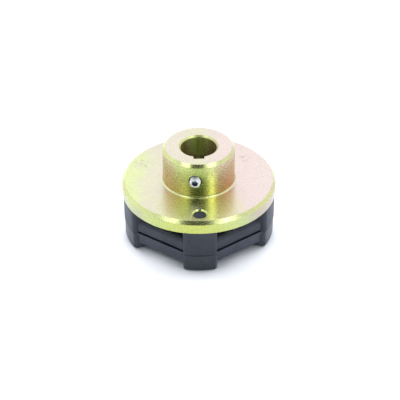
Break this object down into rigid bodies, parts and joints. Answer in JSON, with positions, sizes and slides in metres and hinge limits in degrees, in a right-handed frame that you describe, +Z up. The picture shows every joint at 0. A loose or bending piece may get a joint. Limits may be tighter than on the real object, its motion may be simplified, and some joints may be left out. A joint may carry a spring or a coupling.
{
  "type": "flexible shaft coupling",
  "caption": "Driving half of a flexible shaft coupling: a keyed steel hub with a disc, a set screw, and a moulded rubber element of tied blocks with threaded inserts in their feet.",
  "frame": {"origin": "on the axis of the shaft bore, in the plane of the feet", "axes": "+Z runs up the shaft bore from the feet to the boss, and the keyway and one block face -Y"},
  "size_m": [0.086, 0.086, 0.0545],
  "materials": {
    "passivated_steel": "turned, yellow passivated zinc",
    "screw_steel": "bright zinc",
    "moulded_rubber": "moulded, satin",
    "insert_steel": "bright zinc"
  },
  "bodies": {
    "root": {"hub": "passivated_steel", "set_screw": "screw_steel", "rubber_element": "moulded_rubber", "insert_1": "insert_steel", "insert_2": "insert_steel", "insert_3": "insert_steel", "insert_4": "insert_steel", "insert_5": "insert_steel"}
  },
  "joints": []
}
